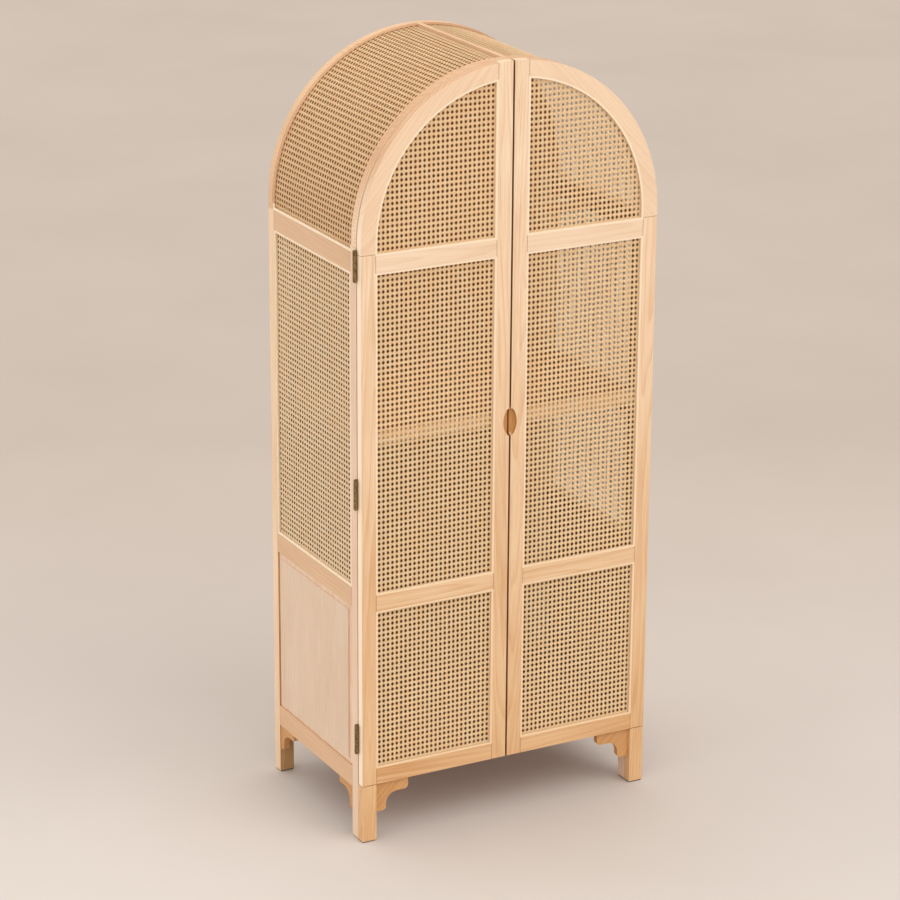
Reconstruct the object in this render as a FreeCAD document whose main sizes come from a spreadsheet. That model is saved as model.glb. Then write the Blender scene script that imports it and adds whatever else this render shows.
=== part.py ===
"""Arched two-door wardrobe of light wood with woven cane panels.

X runs to the right, Y from front to back and Z up. The origin is on the floor, under the middle
of the outline. The doors overlay the front of the carcass and hang on butt hinges at its sides.
"""
import FreeCAD, Part
import itertools
import math
import os
import re
import Sketcher

# Driving sizes in millimetres
SIZES = {
    # Overall outline, without the hinge barrels
    "width": 800,
    "depth": 500,
    "height": 1915,
    "spring": 1494,
    # Door frames
    "door_thick": 20,
    "door_gap": 5,
    "meeting_gap": 5,
    "stile": 38,
    "rail": 41,
    "door_foot": 152,
    "lower_cross": 606,
    "upper_cross": 1449,
    "leg_gap": 2,
    # Posts, arched ribs, side frames and base
    "post_wide": 38,
    "post_deep": 30,
    "rib_deep": 24,
    "pad_thick": 3,
    "pad_inset": 2,
    "side_thick": 22,
    "side_rail": 50,
    "side_foot": 132,
    "side_base": 54,
    "side_mid": 607,
    "base_foot": 145,
    "floor_top": 198,
    "floor_thick": 18,
    # Stub tenons of all rails
    "tenon_long": 20,
    "tenon_thick": 8,
    "tenon_shoulder": 7,
    # Cane panels, the open share of their grid each way, and the strips that hold them
    "cane": 3,
    "cane_inset": 5,
    "grid_open": 0.6,
    "grid_border": 12,
    "bead_wide": 5,
    "bead_inset": 0.5,
    # Solid panels in the lower sides: a raised field within four mitred strips
    "panel_thick": 9,
    "panel_inset": 9,
    "mould_wide": 20,
    "mould_high": 13,
    "mould_inset": 4,
    "mould_gap": 1,
    # Vault, back and inside fittings
    "ridge_wide": 12,
    "ridge_thick": 18,
    "back_thick": 6,
    "back_inset": 8,
    "shelf_top": 1050,
    "shelf_thick": 30,
    "shelf_proud": 1.5,
    "cleat_high": 25,
    "cleat_thick": 18,
    "hang_radius": 12.5,
    "socket_radius": 22,
    "socket_thick": 12,
    "socket_depth": 9,
    "socket_play": 0.1,
    # Cove brackets beside the legs, at the front and at the sides
    "bracket_thick": 16,
    "bracket_long": 92,
    "bracket_high": 77,
    "bracket_arm": 31,
    "bracket_tip": 11,
    "bracket_cove": 30,
    "side_bracket_long": 77,
    "side_bracket_high": 64,
    "side_bracket_arm": 18,
    "side_bracket_tip": 6,
    "side_bracket_cove": 32,
    "side_bracket_inset": 2,
    # Oval finger pull that both meeting stiles share
    "pull_mid": 1031,
    "pull_half_wide": 18.5,
    "pull_half_high": 35,
    "pull_end": 12,
    "pull_depth": 10.5,
    "pull_round": 6,
    "pull_over": 3,
    # Butt hinges
    "hinge_high": 74,
    "hinge_low_z": 273,
    "hinge_mid_z": 905,
    "hinge_top_z": 1467,
    "barrel": 5.2,
    "barrel_play": 0.4,
    "pin": 2,
    "pin_play": 0.05,
    "pin_head": 3.2,
    "pin_head_high": 2,
    "knuckle_play": 0.3,
    "leaf_wide": 30,
    "leaf_thick": 2,
    "screw_pitch": 24,
    "screw_shank": 1.75,
    "screw_head": 3.4,
    "screw_long": 10,
    "screw_slot": 0.8,
    # Magnetic catches under the shelf and their plates on the doors
    "catch_wide": 36,
    "catch_high": 14,
    "catch_long": 26,
    "catch_mid": 24,
    "catch_play": 0.4,
    "plate_thick": 1.2,
}

KNUCKLES = 5
HINGES = ("hinge_low_z", "hinge_mid_z", "hinge_top_z")
SCREW_STEPS = (-1, 0, 1)
SIDES = ("left", "right")

# Openings of each cane grid, counted along X, Y and Z, with none through the sheet
SIDE_CELLS = (0, 6, 12)
DOOR_CELLS = {"arch": (5, 0, 6), "middle": (5, 0, 12), "bottom": (5, 0, 6)}
VAULT_COLUMNS = 6
VAULT_ROWS = 8

# Planes and lines that many pieces share
DOOR_FRONT = "-depth/2"
DOOR_BACK = "(-depth/2 + door_thick)"
CARCASS_FRONT = "(-depth/2 + door_thick + door_gap)"
POST_BACK = "(-depth/2 + door_thick + door_gap + post_deep)"
REAR_POST_FRONT = "(depth/2 - post_deep)"
BACK_FACE = "(depth/2 - back_inset - back_thick)"
ARCH_MID = "(height - width/2)"
DOOR_INNER = "(meeting_gap/2 + stile)"
BASE_TOP = "(side_foot + side_base)"
FLOOR_UNDER = "(floor_top - floor_thick)"
SHELF_UNDER = "(shelf_top - shelf_thick)"
HINGE_X = "(width/2 + barrel + barrel_play)"
HINGE_Y = DOOR_BACK

doc = FreeCAD.newDocument("arched_wardrobe")
sheet = doc.addObject("Spreadsheet::Sheet", "Sizes")
for row, (alias, size) in enumerate(SIZES.items(), start=1):
    sheet.set(f"A{row}", alias)
    sheet.set(f"B{row}", str(size))
    sheet.setAlias(f"B{row}", alias)
doc.recompute()

pieces = []


def bound(text):
    """Point every size name in an expression at its cell in the sheet."""
    return re.sub(r"[a-z_]+", lambda word: f"Sizes.{word[0]}" if word[0] in SIZES else word[0], text)


def value(text):
    """Work out an expression with the sheet's present sizes."""
    return float(sheet.evalExpression(text))


def keep(piece, label):
    """Mark an object as a finished piece under its own name."""
    piece.Label = label
    pieces.append(piece)
    return piece


def place(piece, x="0", y="0", z="0"):
    """Bind an object's position to the sheet."""
    for axis, text in zip("xyz", (x, y, z)):
        piece.setExpression(f"Placement.Base.{axis}", bound(text))
    return piece


def block(name, x, y, z):
    """Make a square board between a low and a high plane each way."""
    board = doc.addObject("Part::Box", name)
    for size, (low, high) in zip(("Length", "Width", "Height"), (x, y, z)):
        board.setExpression(size, bound(f"({high}) - ({low})"))
    return place(board, x[0], y[0], z[0])


def rod(name, radius, length, tilt=None):
    """Make a cylinder that stands on the XY plane, or lies along the axis that tilt turns it to."""
    cylinder = doc.addObject("Part::Cylinder", name)
    cylinder.setExpression("Radius", bound(radius))
    cylinder.setExpression("Height", bound(length))
    if tilt:
        cylinder.Placement = FreeCAD.Placement(FreeCAD.Vector(), tilt)
    return cylinder


def group(name, members):
    """Gather separate solids in one object."""
    gathered = doc.addObject("Part::Compound", name)
    gathered.Links = members
    return gathered


def joined(name, members):
    """Fuse solids into one."""
    fused = doc.addObject("Part::MultiFuse", name)
    fused.Shapes = members
    return fused


def cut(name, base, tool):
    """Take one object away from another."""
    rest = doc.addObject("Part::Cut", name)
    rest.Base = base
    rest.Tool = tool
    return rest


def common(name, base, tool):
    """Keep what two objects share."""
    shared = doc.addObject("Part::Common", name)
    shared.Base = base
    shared.Tool = tool
    return shared


def copy(name, master, x="0", y="0", z="0", turn=None):
    """Repeat an object at another place, turned if need be."""
    link = doc.addObject("App::Link", name)
    link.LinkedObject = master
    if turn:
        link.Placement = FreeCAD.Placement(FreeCAD.Vector(), turn)
    return place(link, x, y, z)


def on_side(side, low, high):
    """Give the span between two planes of the left side, or its mirror image on the right."""
    return (low, high) if side == "left" else (f"-({high})", f"-({low})")


def mirrored(side, corners):
    """Give an outline of the left side, or its mirror image on the right."""
    if side == "left":
        return corners
    return [(f"-({corner[0]})",) + corner[1:] for corner in corners]


def draw(sketch, corners):
    """Draw a closed outline of corners (u, v), with arcs where a corner adds (centre v, radius).

    An arc runs from its corner to the next one, about a centre on the sketch's own V axis, or
    about the centre (u, v) when the corner adds three values.
    """
    points = [FreeCAD.Vector(value(corner[0]), value(corner[1]), 0) for corner in corners]
    first = sketch.GeometryCount
    ends = []
    for index, corner in enumerate(corners):
        start = points[index]
        stop = points[(index + 1) % len(points)]
        if len(corner) == 2:
            sketch.addGeometry(Part.LineSegment(start, stop))
            ends.append((1, 2))
            continue
        centre_u, centre_v = ("0",) + corner[2:3] if len(corner) == 4 else corner[2:4]
        centre = FreeCAD.Vector(value(centre_u), value(centre_v), 0)
        circle = Part.Circle(centre, FreeCAD.Vector(0, 0, 1), value(corner[-1]))
        angles = [math.atan2(point.y - centre.y, point.x - centre.x) for point in (start, stop)]
        forward = (angles[1] - angles[0]) % (2 * math.pi) < math.pi
        sketch.addGeometry(Part.ArcOfCircle(circle, *(angles if forward else angles[::-1])))
        ends.append((1, 2) if forward else (2, 1))
    for index, corner in enumerate(corners):
        edge = first + index
        following = (index + 1) % len(corners)
        sketch.addConstraint(
            Sketcher.Constraint("Coincident", edge, ends[index][1], first + following, ends[following][0])
        )
        for kind, text in zip(("DistanceX", "DistanceY"), corner):
            limit = sketch.addConstraint(Sketcher.Constraint(kind, edge, ends[index][0], value(text)))
            sketch.setExpression(f"Constraints[{limit}]", bound(text))
        if len(corner) > 2:
            limit = sketch.addConstraint(Sketcher.Constraint("Radius", edge, value(corner[-1])))
            sketch.setExpression(f"Constraints[{limit}]", bound(corner[-1]))


def attach(body, sketch, plane):
    """Lay a sketch on one of its body's origin planes."""
    support = next(feature for feature in body.Origin.OriginFeatures if feature.Role == plane)
    sketch.AttachmentSupport = [(support, "")]
    sketch.MapMode = "FlatFace"


def plate(name, plane, outlines, thick):
    """Pad one or more outlines on an origin plane, towards +X from YZ and towards +Y from XZ."""
    body = doc.addObject("PartDesign::Body", name)
    sketch = body.newObject("Sketcher::SketchObject", f"{name}_outline")
    attach(body, sketch, plane)
    for corners in outlines:
        draw(sketch, corners)
    pad = body.newObject("PartDesign::Pad", f"{name}_pad")
    pad.Profile = sketch
    pad.setExpression("Length", bound(thick))
    pad.Reversed = plane == "XZ_Plane"
    return body


def rectangle(u, v, inset="0"):
    """Give the corners of a rectangle, drawn in by an inset."""
    low_u, high_u = (f"({u[0]}) + {inset}", f"({u[1]}) - {inset}")
    low_v, high_v = (f"({v[0]}) + {inset}", f"({v[1]}) - {inset}")
    return [(low_u, low_v), (high_u, low_v), (high_u, high_v), (low_u, high_v)]


def arch_height(radius, u):
    """Give the height of a circle about the arch's centre, at a distance from the middle."""
    return f"{ARCH_MID} + sqrt(({radius})^2 - ({u})^2)"


def arch_band(outer, inner, foot, crown):
    """Give the left half of an arched band, from its foot to a vertical cut beside the crown."""
    return [
        (f"-({outer})", foot),
        (f"-({outer})", ARCH_MID, ARCH_MID, outer),
        (f"-({crown})", arch_height(outer, crown)),
        (f"-({crown})", arch_height(inner, crown), ARCH_MID, inner),
        (f"-({inner})", ARCH_MID),
        (f"-({inner})", foot),
    ]


def quarter_arch(inset):
    """Give the opening under the left door's arch, drawn in by an inset."""
    radius = f"width/2 - stile - {inset}"
    inner = f"{DOOR_INNER} + {inset}"
    foot = f"upper_cross + rail + {inset}"
    return [
        (f"-({radius})", foot),
        (f"-({radius})", ARCH_MID, ARCH_MID, radius),
        (f"-({inner})", arch_height(radius, inner)),
        (f"-({inner})", foot),
    ]


def cell(span, count, number):
    """Give the open part of one cell, where a span is shared out in equal cells."""
    low, high = span
    pitch = f"(({high}) - ({low}))/{count}"
    return tuple(f"({low}) + {pitch}*({number + 0.5} {sign} grid_open/2)" for sign in "-+")


def openings(name, spans, counts):
    """Make the openings of a flat grid, right through the sheet where the count is none."""
    choices = []
    for span, count in zip(spans, counts):
        through = (f"({span[0]}) - cane", f"({span[1]}) + cane")
        choices.append([cell(span, count, number) for number in range(count)] or [through])
    blocks = []
    for corner in itertools.product(*choices):
        blocks.append(block(f"{name}_opening_{len(blocks)}", *corner))
    return group(f"{name}_openings", blocks)


def bracket(name, plane, prefix):
    """Make a cove bracket whose back edge is a leg and whose top edge is a rail."""
    arm, tip, cove = (f"{prefix}bracket_{size}" for size in ("arm", "tip", "cove"))
    long, high = (f"{prefix}bracket_long", f"{prefix}bracket_high")
    corners = [
        ("0", "0"),
        ("0", f"-{high}"),
        (f"{arm} - {tip}", f"-{high}", f"{arm} - {tip}", f"-{high} + {tip}", tip),
        (arm, f"-{high} + {tip}"),
        (arm, f"-{arm} - {cove}", f"{arm} + {cove}", f"-{arm} - {cove}", cove),
        (f"{arm} + {cove}", f"-{arm}"),
        (f"{long} - {tip}", f"-{arm}", f"{long} - {tip}", f"-{arm} + {tip}", tip),
        (long, f"-{arm} + {tip}"),
        (long, "0"),
    ]
    return plate(name, plane, [corners], "bracket_thick")


def rail_with_tenons(label, x, y, z, along):
    """Make a rail with a stub tenon at each end, and give its tenons for the mortises."""
    board = block(f"{label}_board", x, y, z)
    spans = {"x": x, "y": y, "z": z}
    across = "y" if along == "x" else "x"
    centre = f"(({spans[across][0]}) + ({spans[across][1]}))/2"
    spans[across] = (f"{centre} - tenon_thick/2", f"{centre} + tenon_thick/2")
    spans["z"] = (f"{z[0]} + tenon_shoulder", f"{z[1]} - tenon_shoulder")
    low, high = spans[along]
    tenons = []
    for end, span in {"low": (f"{low} - tenon_long", low), "high": (high, f"{high} + tenon_long")}.items():
        spans[along] = span
        tenons.append(block(f"{label}_tenon_{end}", spans["x"], spans["y"], spans["z"]))
    keep(joined(f"{label}_rail", [board] + tenons), label)
    return tenons


# Side frames: two posts, three rails, a cane panel over a solid raised panel
SIDE_Y = (POST_BACK, REAR_POST_FRONT)
SIDE_RAILS = {
    "upper": ("spring - side_rail", "spring"),
    "middle": ("side_mid", "side_mid + side_rail"),
    "bottom": ("side_foot", BASE_TOP),
}
POST_Y = {"front": (CARCASS_FRONT, POST_BACK), "rear": (REAR_POST_FRONT, "depth/2")}
SIDE_CANE_Z = ("side_mid + side_rail", "spring - side_rail")
SIDE_PANEL_Z = (BASE_TOP, "side_mid")
FIELD_Y = (f"{POST_BACK} + mould_gap + mould_wide", f"{REAR_POST_FRONT} - mould_gap - mould_wide")
FIELD_Z = (f"{BASE_TOP} + mould_gap + mould_high", "side_mid - mould_gap - mould_high")

strips = []
posts = []
for side in SIDES:
    rail_x = on_side(side, "-width/2", "-width/2 + side_thick")
    front_tenons = []
    rear_tenons = []
    for level, span in SIDE_RAILS.items():
        front, rear = rail_with_tenons(f"side_{level}_rail_{side}", rail_x, SIDE_Y, span, "y")
        front_tenons.append(front)
        rear_tenons.append(rear)
    post_x = on_side(side, "-width/2", "-width/2 + post_wide")
    for end, tenons in {"front": front_tenons, "rear": rear_tenons}.items():
        board = block(f"{end}_post_{side}_board", post_x, POST_Y[end], ("pad_thick", "spring"))
        posts.append(board)
        mortises = group(f"{end}_post_{side}_mortises", tenons)
        keep(cut(f"{end}_post_{side}_cut", board, mortises), f"{end}_post_{side}")
    cane_x = on_side(side, "-width/2 + cane_inset", "-width/2 + cane_inset + cane")
    closed = block(f"side_cane_{side}_sheet", cane_x, SIDE_Y, SIDE_CANE_Z)
    holes = openings(f"side_cane_{side}", (cane_x, SIDE_Y, SIDE_CANE_Z), SIDE_CELLS)
    keep(cut(f"side_cane_{side}_grid", closed, holes), f"side_cane_{side}")
    outlines = [rectangle(SIDE_Y, SIDE_CANE_Z), rectangle(SIDE_Y, SIDE_CANE_Z, "bead_wide")]
    frame = plate(f"side_bead_{side}", "YZ_Plane", outlines, "cane_inset - bead_inset")
    bead_x = on_side(side, "-width/2 + bead_inset", "-width/2 + cane_inset")
    strips.append(place(frame, bead_x[0]))

    panel_x = on_side(side, "-width/2 + panel_inset", "-width/2 + panel_inset + panel_thick")
    field_x = on_side(side, "-width/2", "-width/2 + panel_inset")
    board = block(f"side_panel_{side}_board", panel_x, SIDE_Y, SIDE_PANEL_Z)
    field = block(f"side_panel_{side}_field", field_x, FIELD_Y, FIELD_Z)
    keep(joined(f"side_panel_{side}_raised", [board, field]), f"side_panel_{side}")
    strip_x = on_side(side, "-width/2 + mould_inset", "-width/2 + panel_inset")
    outer = rectangle(SIDE_Y, SIDE_PANEL_Z, "mould_gap")
    inner = rectangle(FIELD_Y, FIELD_Z)
    for start in range(4):
        stop = (start + 1) % 4
        corners = [outer[start], outer[stop], inner[stop], inner[start]]
        strip = plate(f"side_strip_{side}_{start}", "YZ_Plane", [corners], "panel_inset - mould_inset")
        strips.append(place(strip, strip_x[0]))

# Front legs are made up to the door's face below the doors, and every leg stands on a pad
blocks = []
pads = []
for side in SIDES:
    leg_x = on_side(side, "-width/2", "-width/2 + post_wide")
    leg_z = ("pad_thick", "door_foot - leg_gap")
    blocks.append(block(f"leg_block_{side}", leg_x, (DOOR_FRONT, CARCASS_FRONT), leg_z))
    pad_x = on_side(side, "-width/2 + pad_inset", "-width/2 + post_wide - pad_inset")
    for end, span in {"front": (DOOR_FRONT, POST_BACK), "rear": POST_Y["rear"]}.items():
        pad_y = (f"{span[0]} + pad_inset", f"{span[1]} - pad_inset")
        pads.append(block(f"{end}_pad_{side}", pad_x, pad_y, ("0", "pad_thick")))
keep(group("leg_block_pair", blocks), "front_leg_blocks")
keep(group("pad_set", pads), "foot_pads")

# Arched ribs in two halves that meet at the crown, the ridge between them and the cane vault
RIB_INNER = "width/2 - post_wide"
RIB_Y = {"front": CARCASS_FRONT, "rear": "depth/2 - rib_deep"}
for end, low in RIB_Y.items():
    halves = []
    for side in SIDES:
        outline = mirrored(side, arch_band("width/2", RIB_INNER, "spring", "0"))
        half = plate(f"{end}_rib_{side}", "XZ_Plane", [outline], "rib_deep")
        halves.append(place(half, y=low))
    keep(group(f"{end}_rib", halves), f"{end}_arch_rib")

VAULT_Y = (f"{CARCASS_FRONT} + rib_deep", "depth/2 - rib_deep")
VAULT_LONG = f"(({VAULT_Y[1]}) - ({VAULT_Y[0]}))"
RIDGE_X = ("-ridge_wide/2", "ridge_wide/2")
RIDGE_TOP = arch_height("width/2", "ridge_wide/2")
keep(block("ridge", RIDGE_X, VAULT_Y, (f"{RIDGE_TOP} - ridge_thick", RIDGE_TOP)), "ridge_strip")

# The vault's cane is made of equal sectors, copied from one that stands over the arch's centre
CANE_OUTER = "(width/2 - cane_inset)"
CANE_INNER = "(width/2 - cane_inset - cane)"
BEAD_OUTER = "(width/2 - bead_inset)"
RIDGE_LEAN = math.degrees(math.asin(value("ridge_wide/2") / value(CANE_INNER)))
VAULT_STEP = (90 - RIDGE_LEAN) / VAULT_ROWS
sector_end = f"sin({VAULT_STEP / 2})"
sector_top = f"cos({VAULT_STEP / 2})"
sector_outline = [
    (f"-{CANE_OUTER}*{sector_end}", f"{CANE_OUTER}*{sector_top}", "0", CANE_OUTER),
    (f"{CANE_OUTER}*{sector_end}", f"{CANE_OUTER}*{sector_top}"),
    (f"{CANE_INNER}*{sector_end}", f"{CANE_INNER}*{sector_top}", "0", CANE_INNER),
    (f"-{CANE_INNER}*{sector_end}", f"{CANE_INNER}*{sector_top}"),
]
opening_half = f"{CANE_OUTER}*{sector_end}*grid_open"
opening_z = (f"{CANE_OUTER} - 3*cane", f"{CANE_OUTER} + cane")
holes = []
for column in range(VAULT_COLUMNS):
    opening_y = cell(("0", VAULT_LONG), VAULT_COLUMNS, column)
    holes.append(block(f"vault_opening_{column}", (f"-{opening_half}", opening_half), opening_y, opening_z))
closed = plate("vault_sector_sheet", "XZ_Plane", [sector_outline], VAULT_LONG)
sector = cut("vault_sector", closed, group("vault_openings", holes))

sheets = []
for side in SIDES:
    for row in range(VAULT_ROWS):
        lean = RIDGE_LEAN + VAULT_STEP * (row + 0.5)
        turn = FreeCAD.Rotation(FreeCAD.Vector(0, 1, 0), -lean if side == "left" else lean)
        sheets.append(copy(f"vault_sector_{side}_{row}", sector, y=VAULT_Y[0], z=ARCH_MID, turn=turn))
    foot_x = on_side(side, "-width/2 + cane_inset", "-width/2 + cane_inset + cane")
    sheets.append(block(f"vault_foot_{side}", foot_x, VAULT_Y, ("spring", ARCH_MID)))
    outline = mirrored(side, arch_band(BEAD_OUTER, CANE_OUTER, "spring", "ridge_wide/2"))
    for end, low in {"front": VAULT_Y[0], "rear": f"{VAULT_Y[1]} - bead_wide"}.items():
        strips.append(place(plate(f"vault_bead_{end}_{side}", "XZ_Plane", [outline], "bead_wide"), y=low))
    strip_y = (f"{VAULT_Y[0]} + bead_wide", f"{VAULT_Y[1]} - bead_wide")
    foot_x = on_side(side, "-width/2 + bead_inset", "-width/2 + cane_inset")
    strips.append(block(f"vault_bead_foot_{side}", foot_x, strip_y, ("spring", "spring + bead_wide")))
keep(group("vault_sheets", sheets), "vault_cane")
keep(group("carcass_strips", strips), "carcass_beads")

# Back, base, floor, shelf and hanging rail
BETWEEN_POSTS = ("-width/2 + post_wide", "width/2 - post_wide")
back_outline = [
    (BETWEEN_POSTS[0], FLOOR_UNDER),
    (BETWEEN_POSTS[1], FLOOR_UNDER),
    (BETWEEN_POSTS[1], ARCH_MID, ARCH_MID, RIB_INNER),
    ("0", f"{ARCH_MID} + {RIB_INNER}", ARCH_MID, RIB_INNER),
    (BETWEEN_POSTS[0], ARCH_MID),
]
keep(place(plate("back_board", "XZ_Plane", [back_outline], "back_thick"), y=BACK_FACE), "back_panel")

front_y = (CARCASS_FRONT, f"{CARCASS_FRONT} + side_thick")
rear_y = ("depth/2 - side_thick", "depth/2")
keep(block("front_base", BETWEEN_POSTS, front_y, ("base_foot", FLOOR_UNDER)), "front_base_rail")
keep(block("rear_base", BETWEEN_POSTS, rear_y, ("base_foot", FLOOR_UNDER)), "rear_base_rail")

floor_x = ("-width/2 + side_thick", "width/2 - side_thick")
floor_board = block("floor_board", floor_x, (CARCASS_FRONT, BACK_FACE), (FLOOR_UNDER, "floor_top"))
keep(cut("floor_notched", floor_board, group("floor_corners", posts)), "floor_panel")

shelf_y = (f"{CARCASS_FRONT} - shelf_proud", BACK_FACE)
cleat_y = (CARCASS_FRONT, BACK_FACE)
keep(block("shelf_board", BETWEEN_POSTS, shelf_y, (SHELF_UNDER, "shelf_top")), "middle_shelf")
cleats = []
for side in SIDES:
    cleat_x = on_side(side, "-width/2 + post_wide", "-width/2 + post_wide + cleat_thick")
    cleats.append(block(f"cleat_{side}", cleat_x, cleat_y, (f"{SHELF_UNDER} - cleat_high", SHELF_UNDER)))
keep(group("cleat_pair", cleats), "shelf_cleats")

ALONG_X = FreeCAD.Rotation(FreeCAD.Vector(0, 1, 0), 90)
HANG_Z = "spring - side_rail/2"
HANG_END = "width/2 - side_thick - socket_thick + socket_depth"
hanging = rod("hanging_rod", "hang_radius", f"2*({HANG_END})", ALONG_X)
keep(place(hanging, f"-({HANG_END})", z=HANG_Z), "hanging_rail")
sockets = []
for side in SIDES:
    disc_x = on_side(side, "-width/2 + side_thick", "-width/2 + side_thick + socket_thick")
    disc = rod(f"socket_disc_{side}", "socket_radius", "socket_thick", ALONG_X)
    bore_x = on_side(side, f"-({HANG_END})", f"-({HANG_END}) + socket_depth")
    bore = rod(f"socket_bore_{side}", "hang_radius + socket_play", "socket_depth", ALONG_X)
    place(disc, disc_x[0], z=HANG_Z)
    place(bore, bore_x[0], z=HANG_Z)
    sockets.append(cut(f"socket_{side}", disc, bore))
keep(group("socket_pair", sockets), "rail_sockets")

# Cove brackets: two between the front legs, in front of the base, and two along each side
HALF_TURN = FreeCAD.Rotation(FreeCAD.Vector(0, 0, 1), 180)
LEG_TOP = "door_foot - leg_gap"
cross_bracket = bracket("cross_bracket", "XZ_Plane", "")
side_bracket = bracket("side_bracket", "YZ_Plane", "side_")
bracket_front = f"{CARCASS_FRONT} - bracket_thick"
brackets = [
    copy("front_bracket_left", cross_bracket, BETWEEN_POSTS[0], bracket_front, LEG_TOP),
    copy("front_bracket_right", cross_bracket, BETWEEN_POSTS[1], CARCASS_FRONT, LEG_TOP, HALF_TURN),
]
for side in SIDES:
    inset = "-width/2 + side_bracket_inset"
    low, high = on_side(side, inset, f"{inset} + bracket_thick")
    brackets.append(copy(f"side_bracket_front_{side}", side_bracket, low, POST_BACK, "side_foot"))
    rear = (high, REAR_POST_FRONT, "side_foot")
    brackets.append(copy(f"side_bracket_rear_{side}", side_bracket, *rear, HALF_TURN))
keep(group("bracket_set", brackets), "leg_brackets")

# Doors: a stile at each side, an arched rail, three straight rails and three cane panels
DOOR_Y = (DOOR_FRONT, DOOR_BACK)
DOOR_RAILS = {
    "upper_crossrail": ("upper_cross", "upper_cross + rail"),
    "lower_crossrail": ("lower_cross", "lower_cross + rail"),
    "bottom_rail": ("door_foot", "door_foot + rail"),
}
CANE_Z = {
    "middle": ("lower_cross + rail", "upper_cross"),
    "bottom": ("door_foot + rail", "lower_cross"),
}
OPENING_X = ("-width/2 + stile", f"-{DOOR_INNER}")
CANE_Y = f"{DOOR_FRONT} + cane_inset"
CANE_SPAN = (CANE_Y, f"{CANE_Y} + cane")
ARCH_SPAN = ("upper_cross + rail", arch_height("width/2 - stile", DOOR_INNER))

# The finger pull is an oval pocket of four arcs that touch, with a rounded edge at its bottom
SQUARES = "(pull_half_high^2 + pull_half_wide^2 - 2*pull_half_high*pull_end)"
PULL_SIDE = f"({SQUARES}/(2*(pull_half_wide - pull_end)))"
PULL_REACH = f"({PULL_SIDE} - pull_half_wide)"
PULL_RISE = "(pull_half_high - pull_end)"
touch_u = f"(pull_end*{PULL_REACH}/({PULL_SIDE} - pull_end))"
touch_v = f"({PULL_RISE}*{PULL_SIDE}/({PULL_SIDE} - pull_end))"
pull_outline = [
    (touch_u, touch_v, PULL_RISE, "pull_end"),
    (f"-{touch_u}", touch_v, PULL_REACH, "0", PULL_SIDE),
    (f"-{touch_u}", f"-{touch_v}", f"-{PULL_RISE}", "pull_end"),
    (touch_u, f"-{touch_v}", f"-{PULL_REACH}", "0", PULL_SIDE),
]
pull = plate("finger_pull", "XZ_Plane", [pull_outline], "pull_depth + pull_over")
doc.recompute()
pull_pad = doc.getObject("finger_pull_pad")
pull_long = value("pull_depth + pull_over")
bottom_edges = []
for number, edge in enumerate(pull_pad.Shape.Edges, start=1):
    if edge.BoundBox.YMin > pull_long / 2:
        bottom_edges.append(f"Edge{number}")
pull_edge = pull.newObject("PartDesign::Fillet", "finger_pull_edge")
pull_edge.Base = (pull_pad, bottom_edges)
pull_edge.setExpression("Radius", bound("pull_round"))
place(pull, y=f"{DOOR_FRONT} - pull_over", z="pull_mid")

for side in SIDES:
    outer_tenons = []
    meeting_tenons = []
    rail_x = on_side(side, *OPENING_X)
    for label, span in DOOR_RAILS.items():
        low, high = rail_with_tenons(f"{side}_{label}", rail_x, DOOR_Y, span, "x")
        outer_tenons.append(low if side == "left" else high)
        meeting_tenons.append(high if side == "left" else low)

    stile_x = on_side(side, "-width/2", "-width/2 + stile")
    board = block(f"{side}_outer_board", stile_x, DOOR_Y, ("door_foot", "spring"))
    mortises = group(f"{side}_outer_mortises", outer_tenons)
    keep(cut(f"{side}_outer_cut", board, mortises), f"{side}_outer_stile")

    outline = mirrored(side, arch_band("width/2", "width/2 - stile", "spring", DOOR_INNER))
    arch = plate(f"{side}_arch", "XZ_Plane", [outline], "door_thick")
    keep(place(arch, y=DOOR_FRONT), f"{side}_arch_rail")

    corners = [
        (f"-{DOOR_INNER}", "door_foot"),
        ("-meeting_gap/2", "door_foot"),
        ("-meeting_gap/2", arch_height("width/2", "meeting_gap/2"), ARCH_MID, "width/2"),
        (f"-{DOOR_INNER}", arch_height("width/2", DOOR_INNER)),
    ]
    stile = plate(f"{side}_meeting", "XZ_Plane", [mirrored(side, corners)], "door_thick")
    place(stile, y=DOOR_FRONT)
    hollows = group(f"{side}_meeting_hollows", meeting_tenons + [pull])
    keep(cut(f"{side}_meeting_cut", stile, hollows), f"{side}_meeting_stile")

    beads = []
    bead_thick = "cane_inset - bead_inset"
    bead_y = f"{DOOR_FRONT} + bead_inset"
    outline = mirrored(side, quarter_arch("0"))
    closed = place(plate(f"{side}_arch_sheet", "XZ_Plane", [outline], "cane"), y=CANE_Y)
    inner = mirrored(side, quarter_arch("grid_border"))
    border = place(plate(f"{side}_arch_border", "XZ_Plane", [inner], "3*cane"), y=f"{CANE_Y} - cane")
    holes = openings(f"{side}_arch", (rail_x, CANE_SPAN, ARCH_SPAN), DOOR_CELLS["arch"])
    inside = common(f"{side}_arch_inside", holes, border)
    keep(cut(f"{side}_arch_grid", closed, inside), f"{side}_arch_cane")
    outlines = [outline, mirrored(side, quarter_arch("bead_wide"))]
    beads.append(place(plate(f"{side}_arch_bead", "XZ_Plane", outlines, bead_thick), y=bead_y))
    for level, span in CANE_Z.items():
        closed = block(f"{side}_{level}_sheet", rail_x, CANE_SPAN, span)
        holes = openings(f"{side}_{level}", (rail_x, CANE_SPAN, span), DOOR_CELLS[level])
        keep(cut(f"{side}_{level}_grid", closed, holes), f"{side}_{level}_cane")
        outlines = [rectangle(rail_x, span), rectangle(rail_x, span, "bead_wide")]
        beads.append(place(plate(f"{side}_{level}_bead", "XZ_Plane", outlines, bead_thick), y=bead_y))
    keep(group(f"{side}_beads", beads), f"{side}_cane_beads")

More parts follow.
